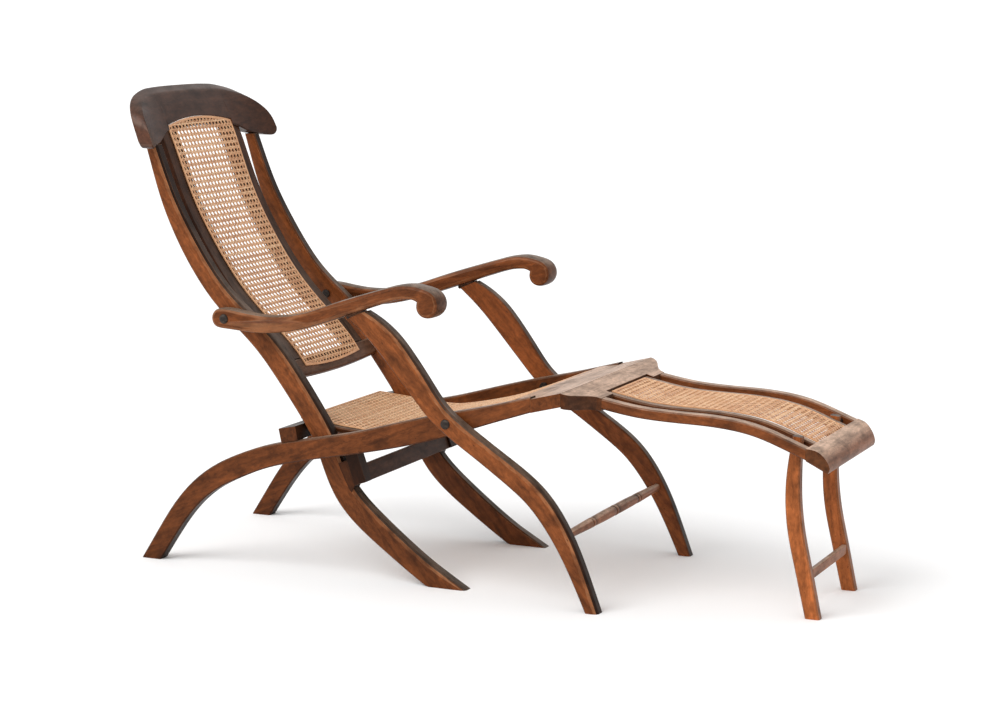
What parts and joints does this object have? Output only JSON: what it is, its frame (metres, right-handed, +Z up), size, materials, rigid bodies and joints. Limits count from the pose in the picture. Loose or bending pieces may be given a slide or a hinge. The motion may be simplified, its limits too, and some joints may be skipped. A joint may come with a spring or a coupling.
{
  "type": "steamer deck chair",
  "caption": "Folding wooden deck chair with curved legs, scrolled arms, caned back, seat and a detachable leg rest.",
  "frame": {"origin": "on the floor, under the middle of the open chair's box", "axes": "+X towards the foot end, +Y towards the sitter's left, +Z up"},
  "size_m": [1.613, 0.626, 1.046],
  "materials": {
    "wood": "satin reddish-brown, waxed, worn edges",
    "dark_wood": "satin very dark brown",
    "cane": "matt pale tan woven cane",
    "iron": "dark worn iron"
  },
  "bodies": {
    "seat_frame": {"seat_rail_left": "wood", "seat_rail_right": "wood", "back_stop_bar": "wood", "seat_panel_rail_left": "wood", "seat_panel_rail_right": "wood", "seat_panel_rear_rail": "wood", "seat_front_board": "wood", "seat_cane": "cane", "hanger_arm_left": "wood", "hanger_arm_right": "wood", "hanger_cross_bar": "wood", "front_leg_bolt_left": "iron", "front_leg_bolt_right": "iron", "front_leg_nut_left": "iron", "front_leg_nut_right": "iron", "back_pivot_pin_left": "iron", "back_pivot_pin_right": "iron"},
    "back_frame": {"back_stile_left": "wood", "back_stile_right": "wood", "crest_rail": "dark_wood", "back_bottom_rail": "wood", "back_panel_stile_left": "wood", "back_panel_stile_right": "wood", "back_cane": "cane", "wedge_block_left": "wood", "wedge_block_right": "wood", "arm_bolt_nut_left": "iron", "arm_bolt_nut_right": "iron"},
    "front_legs": {"front_leg_left": "wood", "front_leg_right": "wood", "leg_stretcher": "wood", "hinge_leaf_lower_left": "iron", "hinge_leaf_lower_right": "iron", "arm_hinge_pin_left": "iron", "arm_hinge_pin_right": "iron"},
    "arms": {"arm_left": "wood", "arm_right": "wood", "hinge_leaf_upper_left": "iron", "hinge_leaf_upper_right": "iron", "arm_bolt_left": "iron", "arm_bolt_right": "iron"},
    "leg_rest": {"leg_rest_head_board": "wood", "leg_rest_rail_left": "wood", "leg_rest_rail_right": "wood", "leg_rest_panel_strip_left": "wood", "leg_rest_panel_strip_right": "wood", "leg_rest_cane": "cane", "leg_rest_end_board": "wood", "leg_rest_pivot_pin_left": "iron", "leg_rest_pivot_pin_right": "iron", "leg_rest_peg_left": "wood", "leg_rest_peg_right": "wood"},
    "leg_rest_legs": {"leg_rest_leg_left": "wood", "leg_rest_leg_right": "wood", "leg_rest_stretcher": "wood"}
  },
  "joints": [
    {"name": "back_fold", "type": "hinge", "parent": "seat_frame", "child": "back_frame", "pos_m": [-0.31417, 0, 0.29602], "axis": [0, 1, 0], "range_deg": [0, 90]},
    {"name": "front_leg_fold", "type": "hinge", "parent": "seat_frame", "child": "front_legs", "pos_m": [0.01506, 0, 0.36955], "axis": [0, 1, 0], "range_deg": [0, 99]},
    {"name": "arm_fold", "type": "hinge", "parent": "front_legs", "child": "arms", "pos_m": [-0.21316, 0, 0.58095], "axis": [0, 1, 0], "range_deg": [-105.2, 0]},
    {"name": "leg_rest_slide", "type": "slide", "parent": "seat_frame", "child": "leg_rest", "axis": [1, 0, 0], "range_m": [0, 0.03]},
    {"name": "leg_rest_legs_fold", "type": "hinge", "parent": "leg_rest", "child": "leg_rest_legs", "pos_m": [0.73281, 0, 0.35805], "axis": [0, 1, 0], "range_deg": [0, 90]}
  ],
  "couplings": [
    {"joint": "front_leg_fold", "follows": "back_fold", "ratio": 1.0968},
    {"joint": "arm_fold", "follows": "back_fold", "ratio": -1.1665}
  ]
}
